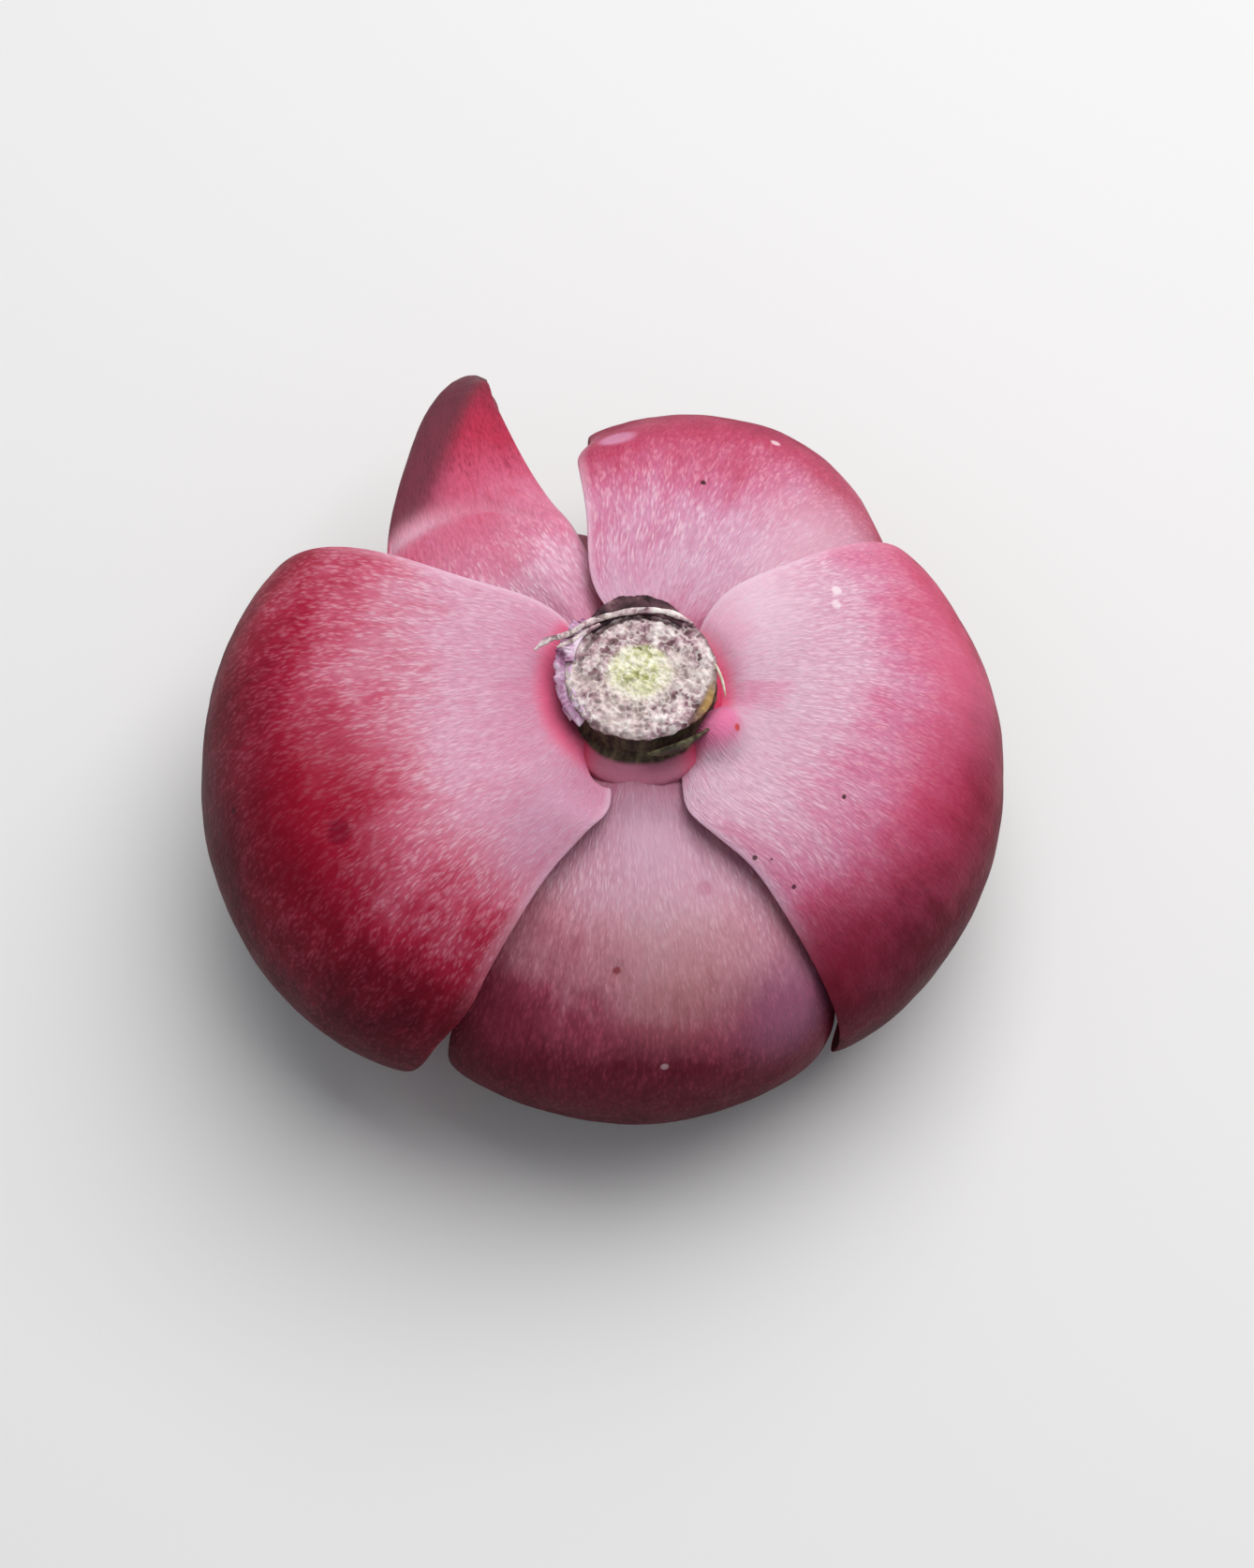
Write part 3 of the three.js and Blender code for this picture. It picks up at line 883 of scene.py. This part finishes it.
def cut_outline(angle):
    """The worn outline of the cut at an angle round it in radians, in millimetres."""
    x, y = math.cos(angle), math.sin(angle)
    oval = 0.12 * math.cos(2 * angle - 0.6) + 0.08 * math.cos(3 * angle + 1.1)
    ragged = 0.22 * bumps(x * 2.2, y * 2.2, 4.0)
    crumbs = 0.12 * bumps(x * 9, y * 9, 8.0)
    return STEM_RADIUS + 0.1 + oval + ragged + crumbs


def rim_share(angle):
    """How far the rim stands up at an angle, 0 to 1."""
    middle, half = (RIM_START + RIM_END) / 2, (RIM_END - RIM_START) / 2
    return max(0.0, 1 - (abs(math.degrees(angle) % 360 - middle) / half) ** 3)


def cut_height(share, angle, x, y):
    """Height of the cut's face over its level: crumbs, the ring's groove, the rim and the low scar."""
    radius = share * STEM_RADIUS
    height = sum(rise * bumps(x / size, y / size, 1.0 + k) for k, (size, rise) in enumerate(BUMPS))
    wobble = 0.25 * bumps(math.cos(angle) * 2, math.sin(angle) * 2, 6.0)
    height -= 0.14 * bell(radius - RING_RADIUS - wobble, 0.22)
    height += 0.12 * bell(radius, PITH_RADIUS)
    rim = rim_share(angle)
    rim_at = RIM_RADIUS + 0.3 * wobble
    height -= rim * 0.42 * bell(radius - rim_at + 0.55, 0.17)
    worn = max(0.0, share - 0.9) / 0.1 * (1 - rim)
    scar = bell(math.degrees(angle) % 360 - SCAR_ANGLE % 360, 15) * max(0.0, share - 0.84) / 0.16
    return height - 0.35 * worn - 0.8 * scar


def foot_flare(depth, angle):
    """How far the stem's foot spreads into the leaf bases, most on its open side."""
    open_side = math.exp(-(((math.degrees(angle) % 360 - FOOT_ANGLE) / 48) ** 4))
    return (0.7 + 1.5 * open_side) * smoothstep(depth, FOOT_DEPTH, FOOT_DEPTH + 1.3)


def wall_radius(angle, depth, frame_radius):
    """The wall's radius at a depth below the cut: fibres and lumps over the frame's stem, and the foot."""
    x, y = math.cos(angle), math.sin(angle)
    fibres = 0.16 * bumps(x * 8, y * 8, depth * 0.35)
    lumps = 0.2 * bumps(x * 3, y * 3, depth * 0.7)
    drawn_in = 0.28 * bell(depth - 1.7, 0.9)
    blend = min(1.0, depth / 3)
    radius = cut_outline(angle) * (1 - blend) + frame_radius * blend
    radius += (fibres + lumps - drawn_in) * min(1.0, depth * 2) * max(0.2, 1 - depth / 12)
    return radius + foot_flare(depth, angle)


def stump():
    """The stem's skin: rings from the middle of the cut outwards, then down the wall to a blunt end."""
    turns = [2 * math.pi * k / STEM_TURNS for k in range(STEM_TURNS)]
    points = [(0, 0, FACE_HEIGHT + cut_height(0.0, 0.0, 0.0, 0.0))]
    for i in range(1, CUT_ROWS + 1):
        share = i / CUT_ROWS
        for angle in turns:
            x, y, z = polar(cut_outline(angle) * share, angle, FACE_HEIGHT)
            points.append((x, y, z + cut_height(share, angle, x, y)))
    tops = [top for _, _, top in points[-STEM_TURNS:]]
    heights, radii = stem_profile()
    bottom = heights.min()
    for i in range(1, WALL_ROWS + 1):
        share = i / WALL_ROWS
        for angle, top in zip(turns, tops):
            height = top + (bottom - top) * share**1.7
            frame_radius = float(np.interp(-height, -heights, radii))
            points.append(polar(wall_radius(angle, CUT_HEIGHT - height, frame_radius), angle, height))
    end = len(points)
    last = end - STEM_TURNS
    points.append((0, 0, bottom - 0.6))
    faces = [(0, 1 + k, 1 + (k + 1) % STEM_TURNS) for k in range(STEM_TURNS)]
    faces += flipped(ring_faces(CUT_ROWS + WALL_ROWS, STEM_TURNS, first=1))
    faces += [(last + k, end, last + (k + 1) % STEM_TURNS) for k in range(STEM_TURNS)]
    return points, faces


# What the stem's shader paints: the stump and its strips, the frill of skin, or the dark bark
PLAIN, FRILL, DARK = 0.0, 0.5, 1.0

# Curled ribbons along the rim: degrees round the stem, radius and height over the cut in mm of both edges,
# and how drift widens the outer edge along the ribbon and dome in its middle.
RIBBONS = [
    # The frill of purple skin on the left
    (FRILL, {"angles": (150, 222), "inner": (5.4, -0.5), "outer": (6.9, -1.3), "drift": -0.5, "seed": 1.0}),
    (FRILL, {"angles": (158, 212), "inner": (5.4, -1.0), "outer": (6.5, -2.1), "thick": 0.25, "seed": 5.0}),
    (FRILL, {"angles": (140, 172), "inner": (5.3, 0.0), "outer": (7.0, -0.3), "drift": -1.0, "thick": 0.28,
             "seed": 9.0}),
    # The dark bark that stands behind the rim
    (DARK, {"angles": (50, 142), "inner": (4.9, -0.3), "outer": (5.5, -0.5), "dome": 1.1, "thick": 0.6,
            "seed": 2.0, "rough": 0.35}),
    (FRILL, {"angles": (132, 166), "inner": (5.3, -0.6), "outer": (6.9, -1.3), "seed": 7.0}),
]


def ribbon(angles, inner, outer, seed, drift=0.0, dome=0.0, thick=0.3, rough=1.0):
    """A closed sheet between two edges, crumpled towards the outer one by a share rough."""
    steps, cross = 90, 8
    start, end = (math.radians(a) for a in angles)
    points = []
    for i in range(steps + 1):
        share = i / steps
        angle = start + (end - start) * share
        fade = math.sin(math.pi * share) ** 0.5
        reach = outer[0] + drift * share + dome * math.sin(math.pi * share) ** 0.8
        for side, t in sheet_loop(cross):
            crumple = bumps(share * 11, t * 1.5, seed)
            finer = bumps(share * 38, t * 4, seed + 3)
            radius = inner[0] * (1 - t) + reach * t
            radius += (0.3 * crumple + 0.12 * finer) * t * fade * rough
            height = inner[1] * (1 - t) + outer[1] * t
            height += (0.35 * crumple + 0.2 * finer) * t * fade * rough
            height += side * thick / 2 * fade
            points.append(polar(radius, angle, CUT_HEIGHT + height))
    return points, tube_faces(steps + 1, 2 * (cross + 1))


# Strips of rind that lie along the rim, from the right round the back to a loose end on the left:
# places in mm from the axis and from the cut, and half their thickness.
STRIPS = [
    (
        [(4.1, 4.0, -0.2), (2.1, 4.9, 0.05), (-0.3, 5.0, 0.15), (-2.6, 4.5, 0.2), (-4.4, 3.8, 0.15),
         (-5.6, 3.0, 0.1), (-7.1, 2.6, 0.0), (-8.3, 1.85, -0.4)],
        0.21,
    ),
    ([(-3.2, 3.9, 0.05), (-4.6, 3.0, 0.05), (-5.5, 2.4, 0.0), (-6.6, 2.0, -0.2)], 0.17),
]


def strip(route, thick):
    """A thin worn strip through a few places: a closed tube of uneven thickness."""
    sides, steps = 10, 14 * (len(route) - 1)
    share = np.linspace(0, 1, steps + 1)
    middle = spline(np.array(route, float), share * (len(route) - 1))
    points = []
    for i, centre in enumerate(middle):
        ahead = middle[min(i + 1, steps)] - middle[max(i - 1, 0)]
        across = np.cross(ahead, (0, 0, 1))
        across /= np.linalg.norm(across)
        end = max(min(share[i], 1 - share[i]) * 6, 0.0)
        size = thick * min(1.0, 0.4 + end) * (1 + 0.35 * bumps(share[i] * 14, thick * 9, 0))
        for k in range(sides):
            turn = 2 * math.pi * k / sides
            rough = 1 + 0.18 * bumps(share[i] * 40, k * 1.3, thick * 5)
            offset = across * math.cos(turn) * 1.25 + np.array([0, 0, math.sin(turn)])
            x, y, z = centre + offset * size * rough
            points.append((x, y, CUT_HEIGHT + z))
    return points, tube_faces(steps + 1, sides)


# Colours of the stem from the dark to the light parts of their grain
RIND_STOPS = shades((0.36, 98, 68, 76), (0.45, 156, 126, 136), (0.52, 212, 188, 194), (0.6, 250, 242, 238))
PITH_STOPS = shades(
    (0.32, 118, 120, 68), (0.43, 184, 186, 128), (0.52, 220, 220, 178), (0.62, 246, 246, 224),
)
BARK_STOPS = shades((0.3, 34, 24, 20), (0.48, 70, 54, 42), (0.6, 96, 88, 62), (0.75, 120, 96, 84))
FRILL_STOPS = shades((0.3, 150, 84, 126), (0.46, 212, 166, 200), (0.62, 242, 222, 238))
DARK_STOPS = shades((0.35, 38, 20, 28), (0.6, 92, 56, 66), (0.75, 140, 104, 110))
SCALE_STOPS = shades((0.3, 30, 26, 18), (0.5, 76, 72, 48), (0.66, 112, 108, 80), (0.8, 150, 140, 116))
FIBRE_STOPS = shades((0.35, 196, 178, 146), (0.6, 240, 230, 214))
FOOT_OPEN, FOOT_CLOSED = srgb(186, 108, 134), srgb(216, 66, 108)


def cut_colour(s, place, grain, fine):
    """The cut's face: pith, corky rind with mauve clumps, a dashed ring, pale fibres and patches, and
    painted shade in its low places.
    """
    rind = s.ramp(s.add(s.times(grain, 0.7), s.times(fine, 0.3)), RIND_STOPS)
    clumps = s.smooth(s.noise(place, 420, 3), 0.45, 0.62)
    rind = s.mix(0.45, rind, s.mix(clumps, rind, srgb(206, 160, 178), "MULTIPLY"))
    pith = s.ramp(s.add(s.times(grain, 0.6), s.times(fine, 0.4)), PITH_STOPS)
    wobble = s.times(s.add(s.noise(place, 500, 2), -0.5), 1.5)
    radius = s.add(s.attribute("cut_radius"), wobble)
    colour = s.mix(s.smooth(radius, PITH_RADIUS - 0.4, PITH_RADIUS + 0.5), pith, rind)
    outside = s.smooth(radius, RING_RADIUS - 0.5, RING_RADIUS)
    inside = s.smooth(radius, RING_RADIUS + 0.55, RING_RADIUS)
    dashes = s.smooth(s.noise(place, 700, 1), 0.46, 0.6)
    ring = s.times(s.times(outside, inside), dashes)
    colour = s.mix(s.times(ring, 0.75), colour, srgb(96, 60, 58))
    veins = s.maths("ABSOLUTE", s.add(s.noise(place, 950, 2, 0.55), -0.5))
    colour = s.mix(s.times(s.smooth(veins, 0.06, 0.012), 0.5), colour, srgb(252, 246, 240))
    pale = s.smooth(s.noise(place, 260, 2), 0.46, 0.62)
    colour = s.mix(s.times(pale, 0.4), colour, srgb(236, 226, 216))
    # Painted shade: the low places of the cut's face are darkened
    hollow = s.smooth(s.attribute("cut_relief"), 0.0, -0.38)
    return s.mix(s.times(hollow, 0.75), colour, srgb(96, 66, 70))


def with_wall_colours(s, place, grain, colour):
    """The cut's colour with the bark below it, the pink foot, the scar and the ribbons' own colours."""
    depth = s.attribute("cut_depth")
    lines = s.vector(s.attribute("bark_angle"), s.times(depth, 0.6), 0.0)
    bark = s.ramp(s.noise(lines, 1.6, 4, 0.6), BARK_STOPS)
    colour = s.mix(s.smooth(depth, 0.35, 0.8), colour, bark)
    foot = s.mix(s.attribute("foot_side"), FOOT_OPEN, FOOT_CLOSED)
    colour = s.mix(s.smooth(depth, FOOT_DEPTH + 0.1, FOOT_DEPTH + 0.28), colour, foot)
    scar = s.times(s.attribute("scar"), s.smooth(s.noise(place, 600, 3), 0.25, 0.5))
    colour = s.mix(scar, colour, srgb(206, 168, 96))
    tone = s.attribute("bark_tone")
    colour = s.mix(s.smooth(tone, 0.2, 0.4), colour, s.ramp(grain, FRILL_STOPS))
    return s.mix(s.smooth(tone, 0.6, 0.8), colour, s.ramp(grain, DARK_STOPS))


def stem_material():
    s = Shader("stem_cut")
    place = s.place()
    grain = s.noise(place, 760, 3, 0.58)
    fine = s.noise(place, 1900, 3, 0.6)
    colour = cut_colour(s, place, grain, fine)
    s.look("Base Color", with_wall_colours(s, place, grain, colour))
    height = s.add(s.times(grain, 0.7), s.times(fine, 0.4))
    s.look("Normal", s.bump(height, 0.00025, 0.8))
    s.look("Roughness", s.smooth(grain, 0.3, 0.7, 0.95, 0.75))
    s.look("Subsurface Weight", 0.06)
    s.look("Subsurface Scale", 0.0006)
    return s.material


def make_stem():
    pieces = [(PLAIN, stump())]
    pieces += [(tone, ribbon(**shape)) for tone, shape in RIBBONS]
    pieces += [(PLAIN, strip(route, thick)) for route, thick in STRIPS]
    points, faces, tones = [], [], []
    for tone, (more, more_faces) in pieces:
        faces += [tuple(len(points) + v for v in face) for face in more_faces]
        points += more
        tones += [tone] * len(more)
    points = np.array(points)
    tones = np.array(tones)
    plain = tones == PLAIN
    on_cut = np.arange(len(points)) < 1 + CUT_ROWS * STEM_TURNS
    radius = np.linalg.norm(points[:, :2], axis=1)
    angle = np.degrees(np.arctan2(points[:, 1], points[:, 0]))
    depth = CUT_HEIGHT - points[:, 2]
    scar = bell(angle - SCAR_ANGLE, 13) * smoothstep(radius, 5.15, 5.6) * smoothstep(-depth, -2.4, -1.6)
    points[:, :2] += STEM_CENTRE
    made = make_object("stem_stump", points, faces)
    add_attribute(made, "cut_radius", radius)
    add_attribute(made, "cut_depth", np.where(on_cut, 0, np.maximum(depth - 0.3, 0)) * plain)
    add_attribute(made, "cut_relief", np.where(on_cut, points[:, 2] - FACE_HEIGHT, 0.2))
    add_attribute(made, "bark_angle", np.abs(angle) / 10)
    add_attribute(made, "bark_tone", tones)
    add_attribute(made, "scar", scar * plain)
    add_attribute(made, "foot_side", smoothstep(np.abs(angle % 360 - FOOT_ANGLE), 22, 45))
    made.data.materials.append(stem_material())
    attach(made, BODY)
    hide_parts("stem")


def grained_material(name, stops, scale, dents, strength, roughness, detail=3.0, rough=0.5):
    """A rough material coloured and dented by one noise; dents is their depth in metres."""
    s = Shader(name)
    grain = s.noise(s.place(), scale, detail, rough)
    s.look("Base Color", s.ramp(grain, stops))
    s.look("Normal", s.bump(grain, dents, strength))
    s.look("Roughness", roughness)
    return s.material


def make_dry_leaf_base():
    """A thin dark scale that lies along the stem's wall and lifts off at one end."""
    low, high = (np.array(corner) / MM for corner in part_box("dry_leaf_base"))
    _, middle = from_stem((low + high) / 2)
    steps, cross, half_angle = 80, 10, 25
    points = []
    for i in range(steps + 1):
        share = i / steps
        angle = math.radians(middle - half_angle + 2 * half_angle * share)
        taper = max(math.sin(math.pi * share**0.8) ** 0.7, 0.03)
        lift = 0.3 * share**3
        for side, share_across in sheet_loop(cross):
            t = (share_across - 0.5) * 2
            swell = 0.32 * taper * math.sqrt(max(0.0, 1 - t * t))
            rough = 0.06 * bumps(share * 14, t * 2.5, 5.0 + side)
            radius = STEM_RADIUS + 0.62 + lift + 0.16 * t + side * swell + rough * taper
            z = (low[2] + high[2]) / 2 + t * (high[2] - low[2]) * 0.62 * taper - 0.25 * share
            points.append(polar(radius, angle, z))
    points = np.array(points)
    points[:, :2] += STEM_CENTRE
    made = make_object("dry_scale", points, flipped(tube_faces(steps + 1, 2 * (cross + 1))))
    grain = {"scale": 800, "dents": 0.0002, "strength": 0.7, "roughness": 0.55, "detail": 4, "rough": 0.6}
    made.data.materials.append(grained_material("dry_scale", SCALE_STOPS, **grain))
    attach(made, BODY)
    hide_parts("dry_leaf_base")


# The loose fibre's ends, in mm from the stem's axis and from the cut, and how far its middle bows out
FIBRE_START = np.array([5.75, 0.75, -0.6])
FIBRE_END = np.array([6.55, -1.75, -1.3])
FIBRE_BOW = np.array([0.12, 0, 0.1])


def make_fibre():
    """A loose pale fibre of the rind that stands beside the cut."""
    steps, sides = 16, 8
    origin = np.array([*STEM_CENTRE, CUT_HEIGHT])
    points = []
    for i in range(steps + 1):
        share = i / steps
        middle = FIBRE_START + (FIBRE_END - FIBRE_START) * share + FIBRE_BOW * math.sin(math.pi * share)
        thick = 0.17 * (1 - 0.5 * share) * max(math.sin(math.pi * (0.08 + 0.9 * share)) ** 0.4, 0.15)
        for k in range(sides):
            turn = 2 * math.pi * k / sides
            points.append(origin + middle + np.array([math.cos(turn), 0, math.sin(turn)]) * thick)
    made = make_object("rind_fibre", np.array(points), tube_faces(steps + 1, sides))
    grain = {"scale": 1800, "dents": 0.0001, "strength": 0.5, "roughness": 0.7}
    made.data.materials.append(grained_material("rind_fibre", FIBRE_STOPS, **grain))
    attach(made, BODY)


make_camera()
make_lights()
make_floor()
make_leaves()
make_stem()
make_dry_leaf_base()
make_fibre()
